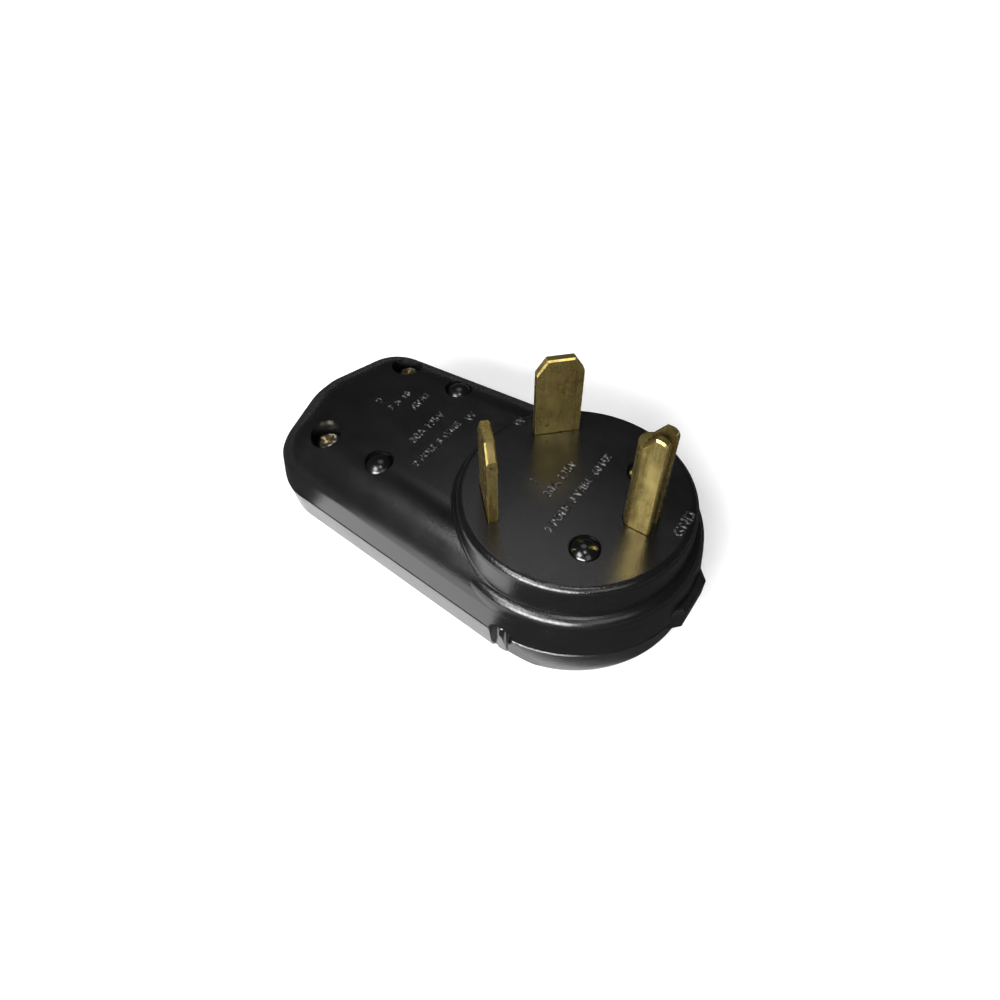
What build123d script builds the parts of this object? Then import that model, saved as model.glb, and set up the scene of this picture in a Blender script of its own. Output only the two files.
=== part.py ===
"""Right-angle plug head for a 30 A trailer cord: two shells, three contacts, terminals and cord grips."""
import os
from math import acos, asin, atan2, cos, degrees, hypot, radians, sin, sqrt, tan

from build123d import *

# Frame: origin on the contact axis at the rear face, +Z along the blades, +X towards the round tip.
# All sizes are in millimetres.

# Housing outline, at the parting line
head_radius = 27.0
tail_length = 71.2
tail_end_flat = 6.0
tail_corner_setback = 6.2
tail_half_width = 22.4
tail_corner_margin = 0.3

# Housing section
cover_depth = 9.6
shell_depth = 13.4
deck_edge_drop = 7.5
crown_radius = 12.5
deck_edge_radius = 1.6
shoulder_drop = 4.1
shoulder_radius = 2.4
shoulder_sink = 0.05
housing_wall = 2.4
shell_draft = 7.0
cover_draft = 7.0
cover_edge_radius = 3.0
inner_edge_radius = 0.6
parting_chamfer = 0.3
lip_height = 1.6
lip_root = 3.0
lip_thickness = 1.2
lip_clearance = 0.15

# Round contact face
face_margin = 3.5
face_rise = 2.7
face_draft = 5.0
face_rim_radius = 1.6
face_root_radius = 0.8
face_thickness = 3.0

# Contacts
blade_circle_radius = 17.15
blade_angle = 135.0
blade_width = 9.4
blade_thickness = 1.9
blade_reach = 18.8
blade_tip_bevel_width = 2.0
blade_tip_bevel_height = 3.1
blade_edge_bevel = 0.3
blade_bend_radius = 1.2
ground_back_station = 10.5
ground_depth = 6.0
ground_width = 4.9
ground_sheet = 1.4
ground_reach = 23.2
ground_back_drop = 3.0
ground_slope_run = 2.2
ground_corner_radius = 1.6
ground_edge_bevel = 0.3
contact_slot_clearance = 0.2
foot_width = 6.4
blade_screw_inset = 6.15
ground_screw_inset = 4.8
foot_end_margin = 4.2

# Contact carrier behind the face
carrier_thickness = 3.8
carrier_clearance = 0.3
carrier_margin = 0.8
barrier_thickness = 1.4
barrier_floor_gap = 2.6
barrier_apex = -3.2
barrier_angle = 60.0
screw_tip_clearance = 0.4

# Terminal screws and wire clamps
terminal_screw_radius = 1.95
terminal_head_radius = 3.1
terminal_head_height = 2.3
terminal_head_bevel = 0.5
terminal_screw_overrun = 1.4
thread_clearance = 0.05
clamp_plate = 1.5
clamp_length = 6.6
clamp_ear = 1.0
clamp_ear_clearance = 0.2
drive_slot_width = 0.9
drive_slot_depth = 1.0

# Cover screws and inserts
cover_screw_setback = 17.4
cover_screw_inset = 8.8
counterbore_radius = 3.5
counterbore_depth = 4.6
cover_screw_radius = 1.9
cover_head_radius = 3.0
cover_head_height = 2.2
cover_head_rounding = 1.6
cover_screw_engagement = 5.0
cover_screw_point = 0.5
cover_hole_clearance = 0.3
cross_recess_length = 3.4
cross_recess_width = 0.9
cross_recess_depth = 1.3
boss_wall = 1.6
insert_radius = 3.0
insert_length = 6.2
insert_boss_wall = 1.6

# Domed rivets
deck_rivet_setback = 32.4
deck_rivet_inset = 8.65
face_rivet_station = 8.4
face_rivet_offset = 11.2
rivet_head_radius = 2.95
rivet_dome_height = 1.5
rivet_recess_radius = 3.1
deck_recess_depth = 1.1
face_recess_depth = 0.5
rivet_shank_radius = 1.8
rivet_tail_radius = 2.7
rivet_tail_height = 1.0
rivet_hole_clearance = 0.1

# Cord entry and cord grips
cord_entry_radius = 6.4
entry_collar_wall = 2.2
entry_collar_length = 6.0
grip_bore_radius = 5.5
grip_floor = 1.3
grip_length = 11.0
grip_groove_depth = 0.5
grip_groove_width = 1.4
grip_groove_pitch = 2.8
grip_groove_count = 3
grip_split_gap = 1.2
grip_ear_thickness = 3.2
grip_ear_margin = 3.6
grip_rivet_clearance = 1.45
grip_pocket_wall = 1.6
grip_pocket_height = 2.4
grip_seat_clearance = 0.15

# Side latches and tip lug
latch_station = 0.4
latch_width = 5.2
latch_depth = 2.2
latch_height = 2.3
latch_corner_radius = 2.0
latch_bar_radius = 1.0
latch_bar_foot = 2.9
latch_clearance = 0.15
latch_pad_wall = 1.6
scoop_run = 8.6
lug_projection = 0.9
lug_face_half_width = 4.6
lug_root_half_width = 8.4
lug_above = 3.4
lug_below = 2.6
lug_bevel = 0.8

# Room left past a face that a cut runs out of
cut_margin = 1.0

# Levels
parting_height = cover_depth
deck_height = cover_depth + shell_depth
deck_edge_height = deck_height - deck_edge_drop
ceiling_height = deck_height - housing_wall
face_height = deck_height + face_rise
carrier_top = face_height - face_thickness
carrier_bottom = carrier_top - carrier_thickness
foot_bottom = carrier_bottom - blade_thickness
clamp_bottom = foot_bottom - clamp_plate
blade_top = face_height + blade_reach
ground_top = face_height + ground_reach
ground_back_top = ground_top - ground_back_drop
counterbore_floor = deck_height - counterbore_depth
cord_height = housing_wall + grip_floor + grip_bore_radius
barrier_bottom = housing_wall + barrier_floor_gap

# Radii and insets that follow from the sizes above
crown_turn = acos(1 - deck_edge_drop / crown_radius)
crown_overhang = crown_radius * (1 - sin(crown_turn))
edge_inset = (deck_edge_height - parting_height) * tan(radians(shell_draft))
tail_corner_radius = crown_radius - crown_overhang + edge_inset + tail_corner_margin
face_radius = head_radius - face_margin
slot_width = blade_thickness + 2 * contact_slot_clearance
slot_length = blade_width + 2 * contact_slot_clearance
slot_corner_radius = hypot(blade_circle_radius + slot_width / 2, slot_length / 2)
carrier_radius = slot_corner_radius + carrier_margin
pocket_radius = carrier_radius + carrier_clearance
boss_radius = counterbore_radius + boss_wall
insert_boss_radius = insert_radius + insert_boss_wall
collar_radius = cord_entry_radius + entry_collar_wall
rivet_hole_radius = rivet_shank_radius + rivet_hole_clearance
terminal_hole_radius = terminal_screw_radius + thread_clearance
latch_floor = head_radius - latch_depth
lug_reach = head_radius + lug_projection
latch_pad_width = latch_width + 2 * latch_pad_wall
latch_pad_depth = latch_depth + latch_pad_wall
lip_inset = housing_wall + lip_height * tan(radians(shell_draft)) + lip_clearance
grip_pocket_length = grip_length + 2 * grip_seat_clearance

# Places in plan, left being +Y
sides = {"left": 1, "right": -1}
tail_corner_station = tail_length - tail_corner_setback
cover_screw_station = tail_length - cover_screw_setback
cover_screw_offset = tail_half_width - cover_screw_inset
deck_rivet_station = tail_length - deck_rivet_setback
deck_rivet_offset = tail_half_width - deck_rivet_inset
grip_half_width = deck_rivet_offset - rivet_tail_radius - grip_rivet_clearance
grip_pocket_width = 2 * (grip_half_width + grip_seat_clearance)
blade_screw_circle = blade_circle_radius - blade_screw_inset
ground_screw_station = ground_back_station - ground_screw_inset
cover_screw_places = {name: (-cover_screw_station, side * cover_screw_offset) for name, side in sides.items()}
deck_rivet_places = {name: (-deck_rivet_station, side * deck_rivet_offset) for name, side in sides.items()}
face_rivet_places = {name: (face_rivet_station, side * face_rivet_offset) for name, side in sides.items()}
latch_places = [(latch_station, side * head_radius) for side in sides.values()]
terminals = {
    "line": (blade_angle, blade_screw_circle),
    "neutral": (-blade_angle, blade_screw_circle),
    "ground": (0, ground_screw_station),
}


def outline(growth):
    """Plan of the housing: a round head joined by tangents to a tapered tail, grown all round."""
    corner_distance = hypot(tail_corner_station, tail_half_width)
    corner_bearing = atan2(tail_half_width, -tail_corner_station)
    tangent_bearing = corner_bearing - acos(head_radius / corner_distance)
    tangent_x = head_radius * cos(tangent_bearing)
    tangent_y = head_radius * sin(tangent_bearing)
    with BuildSketch() as plan:
        with BuildLine():
            Polyline(
                (tangent_x, tangent_y),
                (-tail_corner_station, tail_half_width),
                (-tail_length, tail_end_flat / 2),
                (-tail_length, -tail_end_flat / 2),
                (-tail_corner_station, -tail_half_width),
                (tangent_x, -tangent_y),
            )
            CenterArc((0, 0), head_radius, -degrees(tangent_bearing), 2 * degrees(tangent_bearing))
        make_face()
        fillet(plan.vertices().sort_by(Axis.X)[:4], tail_corner_radius)
        if growth != 0:
            offset(amount=growth)
    return plan.sketch


def crown_start(inset):
    """Level at which the crown, shrunk by inset, runs into the drafted wall below it."""
    slope = tan(radians(shell_draft))
    across = inset - (crown_radius - crown_overhang + edge_inset)
    below = parting_height - (deck_height - crown_radius)
    half_sum = across * slope + below
    product = across**2 + below**2 - (crown_radius - inset) ** 2
    rise = (sqrt(half_sum**2 - (1 + slope**2) * product) - half_sum) / (1 + slope**2)
    return parting_height + rise


def crowned_block(inset):
    """Front half of the housing as one solid: a drafted wall under a crowned deck, shrunk by inset."""
    crown_plan = outline(crown_overhang - edge_inset - inset)
    crown_foot = deck_height - crown_radius - cut_margin
    wall_plan = outline(-inset)
    wall_top = crown_start(inset)
    with BuildPart() as block:
        with BuildSketch(Plane.XY.offset(crown_foot)):
            add(crown_plan)
        extrude(amount=deck_height - inset - crown_foot)
        fillet(block.faces().sort_by(Axis.Z)[-1].edges(), crown_radius - inset)
        split(bisect_by=Plane.XY.offset(wall_top))
        with BuildSketch(Plane.XY.offset(parting_height)):
            add(wall_plan)
        extrude(amount=wall_top - parting_height, taper=shell_draft)
    return block.part


def cover_block(inset):
    """Rear half of the housing as one solid: a drafted tray, shrunk by inset all over."""
    floor_plan = outline(-inset - (cover_depth - inset) * tan(radians(cover_draft)))
    with BuildPart() as block:
        with BuildSketch(Plane.XY.offset(inset)):
            add(floor_plan)
        extrude(amount=cover_depth - inset, taper=-cover_draft)
        fillet(block.faces().sort_by(Axis.Z)[0].edges(), max(cover_edge_radius - inset, inner_edge_radius))
    return block.part


def tip_lug(height):
    """Half of the lug at the round tip, standing up or down from the parting line, with bevelled edges."""
    root_station = sqrt((head_radius - housing_wall / 2) ** 2 - lug_root_half_width**2)
    with BuildPart() as lug:
        with BuildSketch(Plane.XY.offset(parting_height)):
            with BuildLine():
                Polyline(
                    (root_station, -lug_root_half_width),
                    (lug_reach, -lug_face_half_width),
                    (lug_reach, lug_face_half_width),
                    (root_station, lug_root_half_width),
                    close=True,
                )
            make_face()
        extrude(amount=height)
        far_face = lug.faces().filter_by(Axis.Z).sort_by_distance((0, 0, parting_height))[-1]
        chamfer(far_face.edges().sort_by(Axis.X)[1:], lug_bevel)
    return lug.part


def cord_cylinder(start, end, radius):
    """Round bar along the cord's axis, between two stations on X."""
    with BuildPart() as bar:
        with BuildSketch(Plane.YZ.offset(start)):
            with Locations((0, cord_height)):
                Circle(radius)
        extrude(amount=end - start)
    return bar.part


def ground_outline(radius, arm_growth):
    """Outline of the folded ground pin, or of the space in its fold: round back, square front."""
    arm_length = ground_depth - ground_width / 2 + arm_growth
    with BuildSketch() as section:
        with Locations((ground_back_station + ground_width / 2, 0)):
            Circle(radius)
            Rectangle(arm_length, 2 * radius, align=(Align.MIN, Align.CENTER))
    return section.sketch


def contact_slots():
    """Two blade slots and the ground slot, with their clearance."""
    slot_outside = ground_outline(ground_width / 2 + contact_slot_clearance, contact_slot_clearance)
    tongue_radius = ground_width / 2 - ground_sheet - contact_slot_clearance
    slot_tongue = ground_outline(tongue_radius, contact_slot_clearance)
    with BuildSketch() as slots:
        add(slot_outside)
        add(slot_tongue, mode=Mode.SUBTRACT)
        with PolarLocations(blade_circle_radius, 2, -blade_angle, 2 * blade_angle, endpoint=True):
            Rectangle(slot_width, slot_length)
    return slots.sketch


def heading(angle):
    """Unit vector in plan at an angle from +X."""
    return Vector(cos(radians(angle)), sin(radians(angle)), 0)


def terminal_plane(angle, level):
    """Level plane on the contact axis, its X running out towards one contact."""
    return Plane(origin=(0, 0, level), x_dir=heading(angle), z_dir=(0, 0, 1))


os.makedirs("parts", exist_ok=True)
front_block = crowned_block(0)
front_core = crowned_block(housing_wall / 2)
front_cavity = crowned_block(housing_wall)
rear_block = cover_block(0)
rear_core = cover_block(housing_wall / 2)
rear_cavity = cover_block(housing_wall)
upper_lug = tip_lug(lug_above)
lower_lug = tip_lug(-lug_below)
slots = contact_slots()
collar_end = -tail_length + housing_wall + entry_collar_length
entry_collar = cord_cylinder(-tail_length, collar_end, collar_radius)
entry_bore = cord_cylinder(-tail_length - cut_margin, collar_end + cut_margin, cord_entry_radius)
lip_outer_plan = outline(-lip_inset)
lip_inner_plan = outline(-lip_inset - lip_thickness)
lip_root_plan = outline(-housing_wall / 2)

# Arched recess for the latch on each side, through both shells
with BuildPart() as latch_recesses:
    for side in sides.values():
        with BuildSketch(Plane.XZ.offset(-side * latch_floor)) as arch:
            with Locations((latch_station, 0)):
                Rectangle(latch_width, parting_height + latch_height, align=(Align.CENTER, Align.MIN))
            fillet(arch.vertices().group_by(Axis.Y)[-1], latch_corner_radius)
        extrude(amount=-side * 2 * latch_depth)

# Posts inside the front shell, trimmed to end within its skin
with BuildPart() as shell_posts:
    with BuildSketch(Plane.XY.offset(parting_height)):
        with Locations(*cover_screw_places.values()):
            Circle(boss_radius)
    extrude(amount=shell_depth)
    with BuildSketch(Plane.XY.offset(parting_height)):
        with Locations(*latch_places):
            Rectangle(latch_pad_width, 2 * latch_pad_depth)
    extrude(amount=latch_height + latch_pad_wall)
    add(entry_collar)
    add(front_core, mode=Mode.INTERSECT)

# Rounded shoulder under the raised face, which sinks into the crown where the tail begins
shoulder_foot = deck_edge_height - 2 * deck_edge_radius
shoulder_foot_inset = (shoulder_foot - parting_height) * tan(radians(shell_draft)) + shoulder_sink
with BuildPart() as shoulder:
    with BuildSketch(Plane.XY.offset(shoulder_foot)):
        Circle(head_radius - shoulder_foot_inset)
    extrude(amount=deck_height - shoulder_drop - shoulder_foot, taper=shell_draft)
    fillet(shoulder.faces().sort_by(Axis.Z)[-1].edges(), shoulder_radius)

with BuildPart() as front_shell:
    add(front_block)
    add(upper_lug)
    chamfer(front_shell.faces().sort_by(Axis.Z)[0].edges(), parting_chamfer)
    at_deck_edge = (deck_edge_height - parting_chamfer, deck_edge_height + parting_chamfer)
    fillet(front_shell.edges().filter_by_position(Axis.Z, *at_deck_edge), deck_edge_radius)
    with BuildSketch(Plane.XY.offset(face_height)):
        Circle(face_radius)
    extrude(amount=-(face_rise + deck_edge_drop), taper=-face_draft)
    face_wall = front_shell.faces().filter_by(GeomType.CONE).sort_by(Axis.Z)[-1]
    face_root = face_wall.edges().filter_by(GeomType.LINE, reverse=True).sort_by(Axis.Z)[:-1]
    fillet(face_root, face_root_radius)
    fillet(front_shell.faces().sort_by(Axis.Z)[-1].edges(), face_rim_radius)
    add(shoulder.part)
    add(front_cavity, mode=Mode.SUBTRACT)
    with BuildSketch(Plane.XY.offset(carrier_top)):
        Circle(pocket_radius)
    extrude(amount=-carrier_thickness, mode=Mode.SUBTRACT)
    add(shell_posts.part)
    add(latch_recesses.part, mode=Mode.SUBTRACT)
    add(entry_bore, mode=Mode.SUBTRACT)
    with BuildSketch(Plane.XY.offset(face_height)):
        add(slots)
    extrude(amount=-face_thickness, mode=Mode.SUBTRACT)
    with Locations(*[(x, y, deck_height) for x, y in cover_screw_places.values()]):
        CounterBoreHole(
            cover_screw_radius + cover_hole_clearance, counterbore_radius, counterbore_depth, shell_depth
        )
    with Locations(*[(x, y, deck_height) for x, y in deck_rivet_places.values()]):
        CounterBoreHole(rivet_hole_radius, rivet_recess_radius, deck_recess_depth, 2 * housing_wall)
    with Locations(*[(x, y, face_height) for x, y in face_rivet_places.values()]):
        CounterBoreHole(rivet_hole_radius, rivet_recess_radius, face_recess_depth, face_thickness)
front_shell.part.label = "front_shell"
export_step(front_shell.part, "parts/front_shell.step")

# Posts, pads and ribs inside the rear cover, trimmed to end within its skin
with BuildPart() as cover_posts:
    with BuildSketch():
        with Locations(*cover_screw_places.values()):
            Circle(insert_boss_radius)
        with Locations(*latch_places):
            Rectangle(latch_pad_width + 2 * scoop_run, 2 * latch_pad_depth)
    extrude(amount=cover_depth)
    with BuildSketch():
        with Locations((-deck_rivet_station, 0)):
            Rectangle(grip_pocket_length + 2 * grip_pocket_wall, grip_pocket_width + 2 * grip_pocket_wall)
            Rectangle(grip_pocket_length, grip_pocket_width, mode=Mode.SUBTRACT)
    extrude(amount=housing_wall + grip_pocket_height)
    add(entry_collar)
    add(rear_core, mode=Mode.INTERSECT)

# Lip that centres the rear cover in the front shell, open at the cord and beside the latches
with BuildPart() as cover_lip:
    with BuildSketch(Plane.XY.offset(parting_height)):
        add(lip_outer_plan)
        add(lip_inner_plan, mode=Mode.SUBTRACT)
        with Locations(*latch_places):
            pad_room = (latch_pad_width + 2 * lip_clearance, 2 * (latch_pad_depth + lip_clearance))
            Rectangle(*pad_room, mode=Mode.SUBTRACT)
        with Locations((-tail_length, 0)):
            collar_room = (2 * (tail_length + collar_end), 2 * (collar_radius + lip_clearance))
            Rectangle(*collar_room, mode=Mode.SUBTRACT)
    extrude(amount=lip_height)
    with BuildSketch(Plane.XY.offset(parting_height)):
        add(lip_root_plan)
        add(lip_inner_plan, mode=Mode.SUBTRACT)
    extrude(amount=-lip_root)

# Latch bars, joined to the rear cover below the parting line and free above it
bar_offset = latch_floor + latch_clearance + latch_bar_radius
bar_places = [(latch_station, side * bar_offset) for side in sides.values()]
bar_shoulder = parting_height + latch_height - latch_clearance - latch_bar_radius
with BuildPart() as latch_bars:
    with BuildSketch(Plane.XY.offset(latch_bar_foot)):
        with Locations(*bar_places):
            Circle(latch_bar_radius)
        with Locations(*[(latch_station, side * latch_floor) for side in sides.values()]):
            Rectangle(latch_bar_radius, 2 * (latch_clearance + latch_bar_radius))
    extrude(amount=parting_height - latch_bar_foot)
    add(rear_block, mode=Mode.INTERSECT)
    with BuildSketch(Plane.XY.offset(parting_height)):
        with Locations(*bar_places):
            Circle(latch_bar_radius)
    extrude(amount=bar_shoulder - parting_height)
    with Locations(*[(x, y, bar_shoulder) for x, y in bar_places]):
        Sphere(latch_bar_radius)

with BuildPart() as rear_cover:
    add(rear_block)
    add(lower_lug)
    chamfer(rear_cover.faces().sort_by(Axis.Z)[-1].edges(), parting_chamfer)
    add(rear_cavity, mode=Mode.SUBTRACT)
    add(cover_posts.part)
    add(cover_lip.part)
    add(entry_bore, mode=Mode.SUBTRACT)
    with BuildSketch(Plane.XY.offset(parting_height)):
        with Locations(*cover_screw_places.values()):
            Circle(insert_radius)
    extrude(amount=-insert_length, mode=Mode.SUBTRACT)
    add(latch_recesses.part, mode=Mode.SUBTRACT)
    for side in sides.values():
        with BuildSketch(Plane.XZ.offset(-side * latch_floor)):
            with BuildLine():
                Polyline(
                    (latch_station, 0),
                    (latch_station, parting_height),
                    (latch_station + latch_width / 2, parting_height),
                    (latch_station + latch_width / 2 + scoop_run, 0),
                    close=True,
                )
            make_face()
        extrude(amount=-side * 2 * latch_depth, mode=Mode.SUBTRACT)
    add(latch_bars.part)
rear_cover.part.label = "rear_cover"
export_step(rear_cover.part, "parts/rear_cover.step")

with BuildPart() as contact_carrier:
    with BuildSketch(Plane.XY.offset(carrier_bottom)):
        Circle(carrier_radius)
    extrude(amount=carrier_thickness)
    with BuildSketch(Plane.XY.offset(carrier_bottom)):
        for angle in (180, barrier_angle, -barrier_angle):
            across = barrier_apex * sin(radians(angle))
            along = barrier_apex * cos(radians(angle))
            reach = sqrt(carrier_radius**2 - across**2) - along - barrier_thickness
            with Locations((barrier_apex, 0)):
                Rectangle(reach, barrier_thickness, rotation=angle, align=(Align.MIN, Align.CENTER))
    extrude(amount=barrier_bottom - carrier_bottom)
    with BuildSketch(Plane.XY.offset(carrier_bottom)):
        add(slots)
        with Locations(*face_rivet_places.values()):
            Circle(rivet_hole_radius)
    extrude(amount=carrier_thickness, mode=Mode.SUBTRACT)
    with BuildSketch(Plane.XY.offset(carrier_bottom)):
        with Locations(*[heading(angle) * radius for angle, radius in terminals.values()]):
            Circle(terminal_screw_radius + screw_tip_clearance)
    extrude(amount=terminal_screw_overrun + screw_tip_clearance, mode=Mode.SUBTRACT)
contact_carrier.part.label = "contact_carrier"
export_step(contact_carrier.part, "parts/contact_carrier.step")

# Flat blades, each cut from sheet and bent to a foot that lies under the carrier
for name in ("line", "neutral"):
    angle, screw_radius = terminals[name]
    upright = Plane(heading(angle) * blade_circle_radius, x_dir=heading(angle + 90), z_dir=heading(angle))
    outer_face = blade_circle_radius + blade_thickness / 2
    foot_end = screw_radius - foot_end_margin
    with BuildPart() as blade:
        with BuildSketch(upright):
            with BuildLine():
                Polyline(
                    (-blade_width / 2, foot_bottom),
                    (-blade_width / 2, blade_top - blade_tip_bevel_height),
                    (-blade_width / 2 + blade_tip_bevel_width, blade_top),
                    (blade_width / 2 - blade_tip_bevel_width, blade_top),
                    (blade_width / 2, blade_top - blade_tip_bevel_height),
                    (blade_width / 2, foot_bottom),
                    close=True,
                )
            make_face()
        extrude(amount=blade_thickness / 2, both=True)
        flat_sides = blade.faces().sort_by(SortBy.AREA)[-2:]
        bevel_start = blade_top - blade_tip_bevel_height
        chamfer(flat_sides.edges().filter_by_position(Axis.Z, bevel_start, blade_top), blade_edge_bevel)
        with BuildSketch(terminal_plane(angle, foot_bottom)):
            with Locations((foot_end, 0)):
                Rectangle(outer_face - foot_end, foot_width, align=(Align.MIN, Align.CENTER))
            with Locations((screw_radius, 0)):
                Circle(terminal_hole_radius, mode=Mode.SUBTRACT)
        extrude(amount=blade_thickness)
        bend_edge = blade.faces().sort_by(Axis.Z)[0].edges().sort_by_distance((0, 0, foot_bottom))[-1]
        fillet(bend_edge, blade_bend_radius)
    blade.part.label = f"{name}_blade"
    export_step(blade.part, f"parts/{name}_blade.step")

# Ground pin, folded from sheet to a U, with the same kind of foot
ground_outside = ground_outline(ground_width / 2, 0)
ground_inside = ground_outline(ground_width / 2 - ground_sheet, 0)
slope_start = ground_back_station + ground_sheet
ground_foot_end = ground_screw_station - foot_end_margin
with BuildPart() as ground_pin:
    with BuildSketch(Plane.XY.offset(foot_bottom)):
        add(ground_outside)
    extrude(amount=ground_top - foot_bottom)
    with BuildSketch(Plane.XZ) as side_view:
        with BuildLine():
            Polyline(
                (ground_back_station, foot_bottom),
                (ground_back_station, ground_back_top),
                (slope_start, ground_back_top),
                (slope_start + ground_slope_run, ground_top),
                (ground_back_station + ground_depth, ground_top),
                (ground_back_station + ground_depth, foot_bottom),
                close=True,
            )
        make_face()
        fillet(side_view.vertices().group_by(Axis.X)[-1].sort_by(Axis.Y)[-1], ground_corner_radius)
    extrude(amount=ground_width, both=True, mode=Mode.INTERSECT)
    near_tip = ground_pin.edges().filter_by_position(Axis.Z, ground_top - ground_corner_radius, ground_top)
    chamfer(near_tip.filter_by(Axis.Y, reverse=True), ground_edge_bevel)
    with BuildSketch(Plane.XY.offset(foot_bottom)):
        add(ground_inside)
    extrude(amount=ground_top - foot_bottom, mode=Mode.SUBTRACT)
    with BuildSketch(Plane.XY.offset(foot_bottom)):
        with Locations((ground_foot_end, 0)):
            Rectangle(slope_start - ground_foot_end, foot_width, align=(Align.MIN, Align.CENTER))
        with Locations((ground_screw_station, 0)):
            Circle(terminal_hole_radius, mode=Mode.SUBTRACT)
    extrude(amount=blade_thickness)
ground_pin.part.label = "ground_pin"
export_step(ground_pin.part, "parts/ground_pin.step")

# One wire clamp and one terminal screw under each foot
for name, (angle, screw_radius) in terminals.items():
    clamp_width = foot_width + 2 * (clamp_ear_clearance + clamp_ear)
    with BuildPart() as clamp:
        with BuildSketch(terminal_plane(angle, clamp_bottom)):
            with Locations((screw_radius, 0)):
                Rectangle(clamp_length, clamp_width)
                Circle(terminal_hole_radius, mode=Mode.SUBTRACT)
        extrude(amount=clamp_plate)
        with BuildSketch(terminal_plane(angle, foot_bottom)):
            with Locations((screw_radius, 0)):
                Rectangle(clamp_length, clamp_width)
                Rectangle(clamp_length, clamp_width - 2 * clamp_ear, mode=Mode.SUBTRACT)
        extrude(amount=blade_thickness - clamp_ear_clearance)
    clamp.part.label = f"{name}_wire_clamp"
    export_step(clamp.part, f"parts/{name}_wire_clamp.step")

    head_bottom = clamp_bottom - terminal_head_height
    with BuildPart() as terminal_screw:
        with BuildSketch(terminal_plane(angle, clamp_bottom)):
            with Locations((screw_radius, 0)):
                Circle(terminal_head_radius)
        extrude(amount=-terminal_head_height)
        chamfer(terminal_screw.faces().sort_by(Axis.Z)[0].edges(), terminal_head_bevel)
        with BuildSketch(terminal_plane(angle, clamp_bottom)):
            with Locations((screw_radius, 0)):
                Circle(terminal_screw_radius)
        extrude(amount=clamp_plate + blade_thickness + terminal_screw_overrun)
        with BuildSketch(terminal_plane(angle, head_bottom)):
            with Locations((screw_radius, 0)):
                Rectangle(drive_slot_width, 2 * terminal_head_radius)
        extrude(amount=drive_slot_depth, mode=Mode.SUBTRACT)
    terminal_screw.part.label = f"{name}_terminal_screw"
    export_step(terminal_screw.part, f"parts/{name}_terminal_screw.step")

# Cord grips, grooved across the cord's run
groove_radius = grip_bore_radius + grip_groove_depth
first_groove = -deck_rivet_station - grip_groove_pitch * (grip_groove_count - 1) / 2 - grip_groove_width / 2
groove_starts = [first_groove + grip_groove_pitch * number for number in range(grip_groove_count)]
groove_cutters = [cord_cylinder(start, start + grip_groove_width, groove_radius) for start in groove_starts]
grip_back = -deck_rivet_station - grip_length / 2
grip_bore = cord_cylinder(grip_back - cut_margin, grip_back + grip_length + cut_margin, grip_bore_radius)

with BuildPart() as upper_cord_grip:
    with BuildSketch(Plane.YZ.offset(grip_back)):
        with Locations((0, ceiling_height)):
            ear_span = 2 * (deck_rivet_offset + grip_ear_margin)
            Rectangle(ear_span, grip_ear_thickness, align=(Align.CENTER, Align.MAX))
            saddle_depth = ceiling_height - cord_height - grip_split_gap / 2
            Rectangle(2 * grip_half_width, saddle_depth, align=(Align.CENTER, Align.MAX))
    extrude(amount=grip_length)
    add(front_cavity, mode=Mode.INTERSECT)
    add(grip_bore, mode=Mode.SUBTRACT)
    for cutter in groove_cutters:
        add(cutter, mode=Mode.SUBTRACT)
    with Locations(*[(x, y, ceiling_height) for x, y in deck_rivet_places.values()]):
        Hole(rivet_hole_radius, grip_ear_thickness + cut_margin)
upper_cord_grip.part.label = "upper_cord_grip"
export_step(upper_cord_grip.part, "parts/upper_cord_grip.step")

with BuildPart() as lower_cord_grip:
    with BuildSketch(Plane.YZ.offset(grip_back)):
        with Locations((0, housing_wall)):
            block_height = cord_height - grip_split_gap / 2 - housing_wall
            Rectangle(2 * grip_half_width, block_height, align=(Align.CENTER, Align.MIN))
    extrude(amount=grip_length)
    add(grip_bore, mode=Mode.SUBTRACT)
    for cutter in groove_cutters:
        add(cutter, mode=Mode.SUBTRACT)
lower_cord_grip.part.label = "lower_cord_grip"
export_step(lower_cord_grip.part, "parts/lower_cord_grip.step")

# Cover screws from the deck into threaded inserts in the rear cover
for name, (x, y) in cover_screw_places.items():
    with BuildPart() as cover_screw:
        with BuildSketch(Plane((x, y, counterbore_floor))):
            Circle(cover_head_radius)
        extrude(amount=cover_head_height)
        fillet(cover_screw.faces().sort_by(Axis.Z)[-1].edges(), cover_head_rounding)
        with BuildSketch(Plane((x, y, counterbore_floor))):
            Circle(cover_screw_radius)
        extrude(amount=-(counterbore_floor - parting_height + cover_screw_engagement))
        chamfer(cover_screw.faces().sort_by(Axis.Z)[0].edges(), cover_screw_point)
        with BuildSketch(Plane((x, y, counterbore_floor + cover_head_height))):
            Rectangle(cross_recess_length, cross_recess_width)
            Rectangle(cross_recess_width, cross_recess_length)
        extrude(amount=-cross_recess_depth, mode=Mode.SUBTRACT)
    cover_screw.part.label = f"{name}_cover_screw"
    export_step(cover_screw.part, f"parts/{name}_cover_screw.step")

    with BuildPart() as screw_insert:
        with BuildSketch(Plane((x, y, parting_height))):
            Circle(insert_radius)
            Circle(cover_screw_radius + thread_clearance, mode=Mode.SUBTRACT)
        extrude(amount=-insert_length)
    screw_insert.part.label = f"{name}_screw_insert"
    export_step(screw_insert.part, f"parts/{name}_screw_insert.step")

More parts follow.
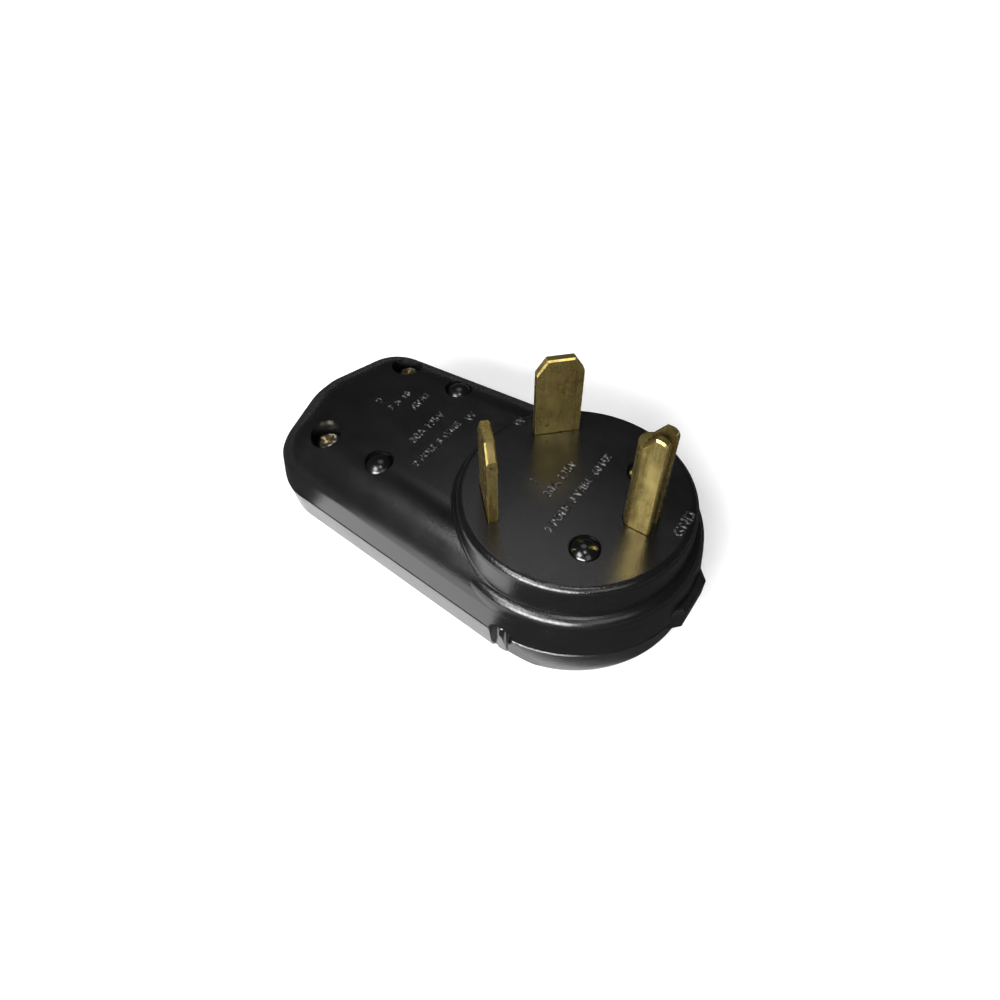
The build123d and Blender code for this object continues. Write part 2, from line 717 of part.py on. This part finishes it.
# Domed rivets: on the deck they hold the upper cord grip, on the face the contact carrier
dome_radius = (rivet_head_radius**2 + rivet_dome_height**2) / (2 * rivet_dome_height)
dome_turn = asin(rivet_head_radius / dome_radius) / 2
rivet_rows = {
    "deck": (deck_rivet_places, deck_height - deck_recess_depth, ceiling_height - grip_ear_thickness),
    "face": (face_rivet_places, face_height - face_recess_depth, carrier_bottom),
}
for row, (places, seat, stack_bottom) in rivet_rows.items():
    dome_top = seat + rivet_dome_height
    dome_middle = (dome_radius * sin(dome_turn), dome_top - dome_radius * (1 - cos(dome_turn)))
    for name, (x, y) in places.items():
        with BuildPart() as rivet:
            with BuildSketch(Plane((x, y, 0), x_dir=(1, 0, 0), z_dir=(0, -1, 0))):
                with BuildLine():
                    Polyline(
                        (0, dome_top),
                        (0, stack_bottom - rivet_tail_height),
                        (rivet_tail_radius, stack_bottom - rivet_tail_height),
                        (rivet_tail_radius, stack_bottom),
                        (rivet_shank_radius, stack_bottom),
                        (rivet_shank_radius, seat),
                        (rivet_head_radius, seat),
                    )
                    ThreePointArc((rivet_head_radius, seat), dome_middle, (0, dome_top))
                make_face()
            revolve(axis=Axis((x, y, 0), (0, 0, 1)))
        rivet.part.label = f"{name}_{row}_rivet"
        export_step(rivet.part, f"parts/{name}_{row}_rivet.step")
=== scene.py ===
# %% [markdown]
# # A replacement plug head
# The plug is moulded in two black shells, with three brass contacts standing out of a raised round face.
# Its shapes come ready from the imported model, so this lesson is about finishes, moulded marks, light and
# camera.

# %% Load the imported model
from math import cos, pi, radians, sin

import bmesh
import bpy
from mathutils import Matrix, Vector


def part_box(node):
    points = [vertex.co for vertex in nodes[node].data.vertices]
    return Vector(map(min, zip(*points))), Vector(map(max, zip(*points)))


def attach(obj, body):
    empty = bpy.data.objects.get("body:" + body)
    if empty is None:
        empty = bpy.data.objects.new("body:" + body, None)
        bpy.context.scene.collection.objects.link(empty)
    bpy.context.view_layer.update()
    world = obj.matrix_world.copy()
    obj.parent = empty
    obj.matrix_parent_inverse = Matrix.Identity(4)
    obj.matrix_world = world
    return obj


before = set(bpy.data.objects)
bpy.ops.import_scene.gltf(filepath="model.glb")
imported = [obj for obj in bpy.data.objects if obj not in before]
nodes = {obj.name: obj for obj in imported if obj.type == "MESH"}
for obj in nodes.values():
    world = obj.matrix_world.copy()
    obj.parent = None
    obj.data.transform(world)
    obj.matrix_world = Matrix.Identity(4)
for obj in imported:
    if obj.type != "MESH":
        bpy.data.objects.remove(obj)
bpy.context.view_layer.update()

# %% [markdown]
# ## Camera
# The picture was taken from close by, over the round end, with a wide lens. A wide lens near the object
# makes the far end look small, so the distance has to be right as well as the direction. The numbers
# here were solved from the outline, the screws and the contacts, which is surer than turning the view by
# hand.

# %% Camera
camera_data = bpy.data.cameras.new("photo_camera")
camera_data.sensor_width = 36
camera_data.lens = 25.55
camera_data.clip_start = 0.01
camera = bpy.data.objects.new("photo_camera", camera_data)
camera.location = (0.03993, -0.08252, 0.12870)
camera.rotation_euler = [radians(turn) for turn in (40.556, 0.449, 34.570)]
bpy.context.scene.collection.objects.link(camera)
bpy.context.scene.camera = camera
bpy.context.scene.view_settings.view_transform = "Standard"
print("camera at", [round(v, 3) for v in camera.location], "lens", camera_data.lens)

# %% [markdown]
# ## Shader nodes
# A finish is a net of nodes. One function makes any node, sets it up and joins its sockets, so that no
# later step has to do that by hand.


# %% Shader nodes
def shader_node(tree, kind, settings=None, inputs=None):
    """A new node: its settings first, then a value or a link for each socket named."""
    made = tree.nodes.new(kind)
    for name, value in (settings or {}).items():
        if name == "stops":
            ramp = made.color_ramp
            while len(ramp.elements) < len(value):
                ramp.elements.new(0.5)
            for element, (position, colour) in zip(ramp.elements, value):
                element.position = position
                element.color = colour
        else:
            setattr(made, name, value)
    for name, value in (inputs or {}).items():
        if isinstance(value, Amount):
            tree.links.new(value.socket, made.inputs[name])
        elif isinstance(value, bpy.types.NodeSocket):
            tree.links.new(value, made.inputs[name])
        else:
            made.inputs[name].default_value = value
    return made


print("node maker ready")

# %% [markdown]
# ## Shader arithmetic
# A finish is easier to read as a formula than as a net of boxes. One small class holds a number that
# changes over a surface, and its plus, minus and times signs add the Math nodes.


# %% Shader arithmetic
class Amount:
    """A number that changes over a surface."""

    def __init__(self, socket):
        self.socket = socket
        self.tree = socket.id_data

    def math(self, operation, first, second, clamp=False):
        settings = {"operation": operation, "use_clamp": clamp}
        return Amount(shader_node(self.tree, "ShaderNodeMath", settings, {0: first, 1: second}).outputs[0])

    def __add__(self, other):
        return self.math("ADD", self, other)

    def __radd__(self, other):
        return self.math("ADD", other, self)

    def __sub__(self, other):
        return self.math("SUBTRACT", self, other)

    def __rsub__(self, other):
        return self.math("SUBTRACT", other, self)

    def __mul__(self, other):
        return self.math("MULTIPLY", self, other)

    def __rmul__(self, other):
        return self.math("MULTIPLY", other, self)

    def larger(self, other):
        """The larger of two amounts."""
        return self.math("MAXIMUM", self, other)

    def between(self, low, high):
        """0 below low, 1 above high, and a straight rise from one to the other."""
        return self.math("MULTIPLY", self - low, 1 / (high - low), clamp=True)

    def swing(self, width):
        """A noise from 0 to 1 made to swing about zero, by half the width each way."""
        return (self - 0.5) * width


print("shader arithmetic ready")

# %% [markdown]
# ## Finishes
# Each finish needs the same few things: cloudy noise, a blend of two colours, worn edges and a bump. A
# second class keeps them with the material that they belong to. The noise lies on the object's own
# coordinates, so it has no seam.


# %% Finishes
class Finish:
    """A material being made: its tree, its shader and the textures that it needs."""

    def __init__(self, name, **constants):
        self.material = bpy.data.materials.new(name)
        self.material.use_nodes = True
        self.tree = self.material.node_tree
        self.shader = self.tree.nodes["Principled BSDF"]
        self.place = self.node("ShaderNodeTexCoord").outputs["Object"]
        for socket, value in constants.items():
            self.shader.inputs[socket.replace("_", " ")].default_value = value

    def node(self, kind, settings=None, **inputs):
        named = {name.replace("_", " "): value for name, value in inputs.items()}
        return shader_node(self.tree, kind, settings, named)

    def noise(self, scale, detail=2.0, stretch=(1, 1, 1)):
        """Cloudy noise with features of about 1/scale metres, drawn out where stretch is small."""
        spread = self.node("ShaderNodeMapping", None, Vector=self.place, Scale=stretch)
        made = self.node("ShaderNodeTexNoise", None, Vector=spread.outputs[0], Scale=scale, Detail=detail)
        return Amount(made.outputs[0])

    def blend(self, amount, first, second):
        """A colour between two, by an amount from 0 to 1."""
        made = self.node("ShaderNodeMix", {"data_type": "RGBA"}, Factor=amount)
        first_colour, second_colour, mixed_colour = made.inputs[6], made.inputs[7], made.outputs[2]
        for socket, colour in ((first_colour, first), (second_colour, second)):
            if isinstance(colour, bpy.types.NodeSocket):
                self.tree.links.new(colour, socket)
            else:
                socket.default_value = (*colour, 1)
        return mixed_colour

    def edges(self, width):
        """1 along sharp edges and 0 elsewhere, from how far a rounded normal leans from the true one."""
        rounded = self.node("ShaderNodeBevel", {"samples": 6}, Radius=width).outputs[0]
        true = self.node("ShaderNodeNewGeometry").outputs["Normal"]
        normals = {0: rounded, 1: true}
        lean = shader_node(self.tree, "ShaderNodeVectorMath", {"operation": "DOT_PRODUCT"}, normals)
        return (1 - Amount(lean.outputs["Value"])).between(0.01, 0.12)

    def bump(self, height, distance):
        made = self.node("ShaderNodeBump", None, Height=height, Distance=distance, Strength=1.0)
        self.feed(Normal=made.outputs[0])

    def feed(self, **sockets):
        for name, value in sockets.items():
            socket = value.socket if isinstance(value, Amount) else value
            self.tree.links.new(socket, self.shader.inputs[name.replace("_", " ")])


print("finish maker ready")

# %% [markdown]
# ## Black moulded plastic
# The shells are moulded in a tool with a fine spark texture. That gives a deep black with a soft gloss:
# the surface mirrors the white table at a low angle and stays dark from above. A picture of the texture
# could be wrapped on, but noise on the object's own coordinates is as fine as it needs to be. The domes
# come from a polished tool, so they have hardly any texture.

# %% Black moulded plastic
plastic_ior = 1.58
cloud_scale, handling_scale, texture_scale = 55, 210, 3000
paler = 1.5


def moulded_plastic(name, colour, gloss, grain):
    """Black plastic: a little uneven in shade and gloss, with the tool's texture as a bump."""
    finish = Finish(name, IOR=plastic_ior)
    cloud = finish.noise(cloud_scale, 3)
    handling = finish.noise(handling_scale, 4)
    texture = finish.noise(texture_scale, 2)
    lighter = [channel * paler for channel in colour]
    finish.feed(
        Base_Color=finish.blend((cloud * 0.6 + handling * 0.4).between(0.3, 0.7), colour, lighter),
        Roughness=gloss + cloud.swing(0.14) + handling.swing(0.12) + texture.swing(0.1),
    )
    finish.bump(texture, grain)
    return finish.material


shell_plastic = moulded_plastic("shell_plastic", (0.003, 0.003, 0.0033), 0.22, 0.000038)
dome_plastic = moulded_plastic("dome_plastic", (0.002, 0.002, 0.0022), 0.2, 0.000003)
grip_plastic = moulded_plastic("grip_plastic", (0.02, 0.02, 0.022), 0.5, 0.00003)
carrier_plastic = moulded_plastic("carrier_plastic", (0.035, 0.033, 0.032), 0.55, 0.00003)
print("plastics: shell, dome, grip, carrier")

# %% [markdown]
# ## Brass contacts
# The blades and the pin are cut and folded from brass strip. Rolling leaves fine lines along the strip,
# and handling leaves duller olive patches and a few dark stains. Brighter gold is painted along the edges
# as a painted highlight. The rolling lines are noise that is drawn out along the blades. The wire clamps
# inside are stamped from plainer strip, and its lines run along the plug.

# %% Brass contacts
edge_width = 0.0004
# gold painted along the edges as a painted highlight
painted_highlight_brass = (0.96, 0.74, 0.2)
stain_brown = (0.06, 0.04, 0.02)
rolling_depth = 0.000012


def rolled_brass(name, bright, dull, along):
    """Brass strip: rolling lines along one direction, tarnished patches, small stains and a painted
    highlight along the edges.
    """
    finish = Finish(name)
    lines = finish.noise(2600, 2, along)
    patches = finish.noise(170, 5)
    smears = finish.noise(420, 3, along)
    stains = finish.noise(420, 1).between(0.71, 0.77)
    edges = finish.edges(edge_width)
    clean = (patches * 0.5 + smears * 0.35 + lines * 0.15).between(0.42, 0.6)
    metal = finish.blend(clean, dull, bright)
    marked = finish.blend(stains * (1 - edges), metal, stain_brown)
    finish.feed(
        # brighter gold painted along the edges: a painted highlight
        Base_Color=finish.blend(edges * 0.85, marked, painted_highlight_brass),
        Metallic=0.93 + clean * 0.05 + edges * 0.02,
        Roughness=0.16 + (1 - clean) * 0.16 + lines.swing(0.14) + stains * 0.2,
    )
    finish.bump(lines * 0.6 + smears * 0.4, rolling_depth)
    return finish.material


contact_brass = rolled_brass("contact_brass", (0.9, 0.72, 0.26), (0.28, 0.2, 0.065), (1, 1, 0.08))
stamped_brass = rolled_brass("stamped_brass", (0.72, 0.56, 0.24), (0.5, 0.37, 0.14), (0.05, 1, 1))
print("brass: contact, stamped")

# %% [markdown]
# ## Turned metal
# A screw head is turned on a lathe, so its marks run in rings about its own axis. The rings need the
# screw's place, which the node's box gives, and so each screw has its own copy of the finish.

# %% Turned metal
ring_scale = 900
ring_depth = 0.000006
tarnished = 0.7


def turned_metal(name, node, colour, gloss):
    """Turned metal: fine rings about the axis of one node, with small dull patches."""
    low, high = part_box(node)
    finish = Finish(name, Metallic=1.0)
    centre = [-(a + b) / 2 for a, b in zip(low, high)]
    moved = finish.node("ShaderNodeMapping", None, Vector=finish.place, Location=centre)
    rings = finish.node(
        "ShaderNodeTexWave",
        {"wave_type": "RINGS", "rings_direction": "Z"},
        Vector=moved.outputs[0],
        Scale=ring_scale,
        Distortion=1.5,
        Detail=2.0,
    )
    ring = Amount(rings.outputs["Fac"])
    patch = finish.noise(900, 3)
    duller = [channel * tarnished for channel in colour]
    finish.feed(
        Base_Color=finish.blend(patch.between(0.35, 0.65), duller, colour),
        Roughness=gloss + patch.swing(0.2) + ring.swing(0.08),
    )
    finish.bump(ring, ring_depth)
    return finish.material


print("turned metal ready")

# %% [markdown]
# ## Screws and inserts
# The cover screws are plated bright. The terminal screws keep the colours that tell an electrician the
# wires apart: brass for the line, silver for the neutral and green for the ground.

# %% Screws and inserts
plated_steel = (0.85, 0.79, 0.63)
insert_brass = (0.7, 0.54, 0.22)
terminal_colours = {"line": (0.74, 0.57, 0.23), "neutral": (0.75, 0.74, 0.7), "ground": (0.06, 0.3, 0.11)}
finish_of = {}
for side in ("left", "right"):
    screw, insert = f"{side}_cover_screw", f"{side}_screw_insert"
    finish_of[screw] = turned_metal(f"{side}_cover_screw_metal", screw, plated_steel, 0.11)
    finish_of[insert] = turned_metal(f"{side}_insert_metal", insert, insert_brass, 0.35)
for terminal, colour in terminal_colours.items():
    screw = f"{terminal}_terminal_screw"
    finish_of[screw] = turned_metal(f"{terminal}_screw_metal", screw, colour, 0.28)
print("turned finishes:", list(finish_of))

# %% [markdown]
# ## Give each node its finish
# The nodes keep their meshes. Only their material slots change.

# %% Give each node its finish
nodes_of = {
    shell_plastic: ("front_shell", "rear_cover"),
    dome_plastic: ("left_deck_rivet", "right_deck_rivet", "left_face_rivet", "right_face_rivet"),
    carrier_plastic: ("contact_carrier",),
    grip_plastic: ("upper_cord_grip", "lower_cord_grip"),
    contact_brass: ("line_blade", "neutral_blade", "ground_pin"),
    stamped_brass: ("line_wire_clamp", "neutral_wire_clamp", "ground_wire_clamp"),
}
for material, names in nodes_of.items():
    for name in names:
        finish_of[name] = material
for name, material in finish_of.items():
    nodes[name].data.materials.clear()
    nodes[name].data.materials.append(material)
print("finished nodes:", len(finish_of), "of", len(nodes))

# %% [markdown]
# ## Marks with painted glints
# The face and the deck carry small raised figures from the mould. Pale grey specks are painted on them as
# painted glints, broken across the figures, and the specks are glossier as well. Their finish is the black
# plastic with those specks on it.

# %% Marks with painted glints
fresh_black = (0.005, 0.005, 0.0053)
painted_glint_grey = (0.13, 0.13, 0.13)
mark_finish = Finish("mark_plastic", IOR=plastic_ior)
# pale grey specks painted on the marks: painted glints
painted_glints = mark_finish.noise(1500, 2).between(0.5, 0.62)
mark_finish.feed(
    Base_Color=mark_finish.blend(painted_glints, fresh_black, painted_glint_grey),
    Roughness=0.2 + mark_finish.noise(4000, 1) * 0.16 - painted_glints * 0.12,
)
mark_plastic = mark_finish.material
print("finish of the marks:", mark_plastic.name)

# %% [markdown]
# ## Moulded marks
# Text is the quick way to draw figures. It is made a mesh before it is put in place, so that the object
# itself stays at the origin like the rest. A small bevel rounds the figures as a mould does.

# %% Moulded marks
mark_half_height = 0.0001
mark_bevel = 0.00012
mark_thinning = -0.00003


def moulded_mark(name, words, size, x, y, level):
    """Raised lettering with its middle at x, y. Its line runs along +Y and its top is to -X."""
    curve = bpy.data.curves.new(name, "FONT")
    curve.body = words
    curve.size = size
    curve.space_character = 1.1
    curve.extrude = mark_half_height
    curve.bevel_depth = mark_bevel
    curve.bevel_resolution = 2
    curve.offset = mark_thinning
    curve.resolution_u = 4
    curve.align_x = "CENTER"
    curve.align_y = "CENTER"
    drawn = bpy.data.objects.new(name, curve)
    bpy.context.scene.collection.objects.link(drawn)
    bpy.context.view_layer.update()
    mesh = bpy.data.meshes.new_from_object(drawn.evaluated_get(bpy.context.evaluated_depsgraph_get()))
    bpy.data.objects.remove(drawn)
    mesh.transform(Matrix.Translation((x, y, level)) @ Matrix.Rotation(radians(90), 4, "Z"))
    mesh.materials.clear()
    mesh.materials.append(mark_plastic)
    mark = bpy.data.objects.new(name, mesh)
    bpy.context.scene.collection.objects.link(mark)
    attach(mark, "root")
    return mark


print("mark maker ready")

# %% [markdown]
# ## Rows of figures
# The words are generic: ratings, the number of poles and wires, and letters at the terminals. Each row
# has a name, its words, the height of its letters, its middle and the level that it stands on.

# %% Rows of figures
deck_level = 0.023
face_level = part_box("front_shell")[1].z
mark_rows = [
    ("face_number", "1", 0.0024, -0.0080, -0.0026, face_level),
    ("face_rating", "30A 125V", 0.0024, -0.0040, 0.0008, face_level),
    ("face_wiring", "2 POLE  3 WIRE  60 HZ", 0.0021, 0.0008, 0.0, face_level),
    ("ground_letters", "GND", 0.0028, 0.0209, 0.0040, face_level),
    ("neutral_letter", "W", 0.0024, -0.0195, 0.0098, face_level),
    ("deck_number", "2", 0.0026, -0.0508, 0.0006, deck_level),
    ("deck_cord", "3 X 10", 0.0022, -0.0471, 0.0030, deck_level),
    ("deck_gauge", "AWG", 0.0022, -0.0431, 0.0054, deck_level),
    ("deck_rating", "30A 125V", 0.0024, -0.0367, -0.0003, deck_level),
    ("deck_wiring", "2 POLE 3 WIRE", 0.0021, -0.0318, -0.0030, deck_level),
    ("deck_letter", "W", 0.0024, -0.0308, 0.0076, deck_level),
]
marks = [moulded_mark(*row) for row in mark_rows]
print("marks:", [mark.name for mark in marks])

# %% [markdown]
# ## Table
# The plug lies on its back on a white table. The table has to look white all over without more light on
# the plug, so it glows for the camera and for mirrors, a little close by and more further out. Close by
# it still takes the plug's shadow.

# %% Table
table_half = 3
table_mesh = bpy.data.meshes.new("table")
sheet = bmesh.new()
bmesh.ops.create_grid(sheet, x_segments=1, y_segments=1, size=table_half)
sheet.to_mesh(table_mesh)
sheet.free()
table = bpy.data.objects.new("table", table_mesh)
bpy.context.scene.collection.objects.link(table)
print("table:", 2 * table_half, "m square")

# %% [markdown]
# ## White of the table
# The light path tells which rays look at the table. Those of the camera, of mirrors and of glass see the
# glow, and those that carry light to the plug do not. The glow grows with the distance from the plug's
# middle.

# %% White of the table
plug_middle = (-0.022, 0, 0)
glow_near, glow_far = 0.055, 0.11
faint, full = (0.3, 0.3, 0.3), (1, 1, 1)
white = Finish("table_white", Base_Color=(0.86, 0.86, 0.86, 1), Roughness=0.8, Emission_Strength=1.0)
ray = white.node("ShaderNodeLightPath").outputs
camera_ray = Amount(ray["Is Camera Ray"])
glossy_ray = Amount(ray["Is Glossy Ray"])
through_ray = Amount(ray["Is Transmission Ray"])
seen = camera_ray.larger(glossy_ray).larger(through_ray)
ends = {0: white.place, 1: plug_middle}
away = shader_node(white.tree, "ShaderNodeVectorMath", {"operation": "DISTANCE"}, ends)
glow = white.blend(Amount(away.outputs["Value"]).between(glow_near, glow_far), faint, full)
white.feed(Emission_Color=white.blend(seen, (0, 0, 0), glow))
table_mesh.materials.append(white.material)
print("white: glow", faint[0], "within", glow_near, "m and", full[0], "beyond", glow_far, "m")

# %% [markdown]
# ## Dark card
# A white table all round would turn a glossy black wall grey, because the wall mirrors the table at its
# foot. The picture has a dark wall at the round end, above a lighter foot. A dark sheet on the table, a
# little away from the plug, paints that in. Only mirrors see it, so the dark wall is a painted reflection
# of shade at the foot. The sheet is spun from one straight edge round the head, drawn out along the back
# and spun again round the tail.

# %% Dark card
card_from, card_to = 0.0278, 0.8
head_middle = Vector((-0.0026, -0.0015, 0.0003))
tail_shift = Vector((-0.045, 0, 0))
first_side, head_turn, tail_turn = radians(-97), radians(187), radians(155)
up = (0, 0, 1)
sheet = bmesh.new()
start = Matrix.Rotation(first_side, 4, "Z")
ends = [sheet.verts.new(head_middle + start @ Vector((reach, 0, 0))) for reach in (card_from, card_to)]
edge = sheet.edges.new(ends)
head = bmesh.ops.spin(sheet, geom=[*ends, edge], cent=head_middle, axis=up, angle=head_turn, steps=48)
head_edges = [item for item in head["geom_last"] if isinstance(item, bmesh.types.BMEdge)]
back = bmesh.ops.extrude_edge_only(sheet, edges=head_edges)["geom"]
moved = [item for item in back if isinstance(item, bmesh.types.BMVert)]
bmesh.ops.translate(sheet, vec=tail_shift, verts=moved)
back_edges = [item for item in back if isinstance(item, bmesh.types.BMEdge)]
tail_edges = [item for item in back_edges if all(vert in moved for vert in item.verts)]
tail_middle = head_middle + tail_shift
bmesh.ops.spin(sheet, geom=[*moved, *tail_edges], cent=tail_middle, axis=up, angle=tail_turn, steps=40)
card_mesh = bpy.data.meshes.new("dark_card")
sheet.to_mesh(card_mesh)
sheet.free()
print("card:", len(card_mesh.polygons), "faces, from", card_from, "to", card_to, "m round the plug")

# %% [markdown]
# ## Shade for mirrors
# The sheet is dark grey and a little uneven, and it is a painted reflection of shade. Only mirrors see it:
# it is hidden from the camera, it throws no shadow and it does not dim the light that the table sends back.

# %% Shade for mirrors
card = bpy.data.objects.new("dark_card", card_mesh)
bpy.context.scene.collection.objects.link(card)
# a dark sheet that only mirrors see: a painted reflection of shade at the foot
card.visible_camera = False
card.visible_diffuse = False
card.visible_shadow = False
mirror_shade = Finish("painted_mirror_shade", Roughness=0.95)
mirror_shade.feed(Base_Color=mirror_shade.blend(mirror_shade.noise(400, 3), (0.02, 0.02, 0.02), (0.05, 0.05, 0.05)))
card_mesh.materials.append(mirror_shade.material)
print("felt on", card.name)

# %% [markdown]
# ## Lamps
# Gloss on black plastic is all reflection, so the lamps are placed by where the picture has its
# highlights. The round rims shine where they lean towards the camera, which takes a wide strip in front.
# The domes have one small glint, from a round lamp overhead. The pin throws a yellow patch on the face,
# which takes a box high in front. A weak box on the right does the same at the foot of the far blade. A
# dim glow high at the back gives the near side of the face its sheen.

# %% Lamps
lamp_distance = 0.6


def soft_box(name, azimuth, elevation, size, radiance, shape="RECTANGLE"):
    """A lamp facing the plug from a direction in degrees. Its radiance is the same at any size."""
    lamp = bpy.data.lights.new(name, "AREA")
    lamp.shape = shape
    lamp.size, lamp.size_y = size
    filled = pi / 4 if shape == "ELLIPSE" else 1
    lamp.energy = radiance * pi * filled * lamp.size * lamp.size_y
    made = bpy.data.objects.new(name, lamp)
    flat = lamp_distance * cos(radians(elevation))
    made.location = (
        flat * cos(radians(azimuth)),
        flat * sin(radians(azimuth)),
        lamp_distance * sin(radians(elevation)),
    )
    made.rotation_euler = made.location.to_track_quat("Z", "Y").to_euler()
    bpy.context.scene.collection.objects.link(made)
    return made


lamps = [
    soft_box("front_strip", -82, 30, (0.5, 0.17), 25.0),
    soft_box("high_box", -110, 53, (0.24, 0.2), 12.0),
    soft_box("right_fill", -28, 45, (0.25, 0.25), 1.8),
    soft_box("overhead_lamp", -45, 78, (0.13, 0.13), 9.0, "ELLIPSE"),
    soft_box("back_glow", 129, 65, (0.28, 0.28), 1.2, "ELLIPSE"),
]
print("lamps:", [lamp.name for lamp in lamps])

# %% [markdown]
# ## Room
# The rest of the room is dark, and a little lighter at the horizon, so that the black plastic stays
# black between the lamps.

# %% Room
world = bpy.data.worlds.new("room")
world.use_nodes = True
bpy.context.scene.world = world
room = world.node_tree
way = shader_node(room, "ShaderNodeTexCoord").outputs["Generated"]
height = shader_node(room, "ShaderNodeSeparateXYZ", None, {0: way}).outputs["Z"]
shades = [(0.0, 0.08), (0.2, 0.045), (1.0, 0.045)]
stops = [(level, (shade, shade, shade, 1)) for level, shade in shades]
backdrop = shader_node(room, "ShaderNodeValToRGB", {"stops": stops}, {"Fac": height})
room.links.new(backdrop.outputs[0], room.nodes["Background"].inputs["Color"])
print("room: from", shades[0][1], "at the horizon to", shades[-1][1], "overhead")
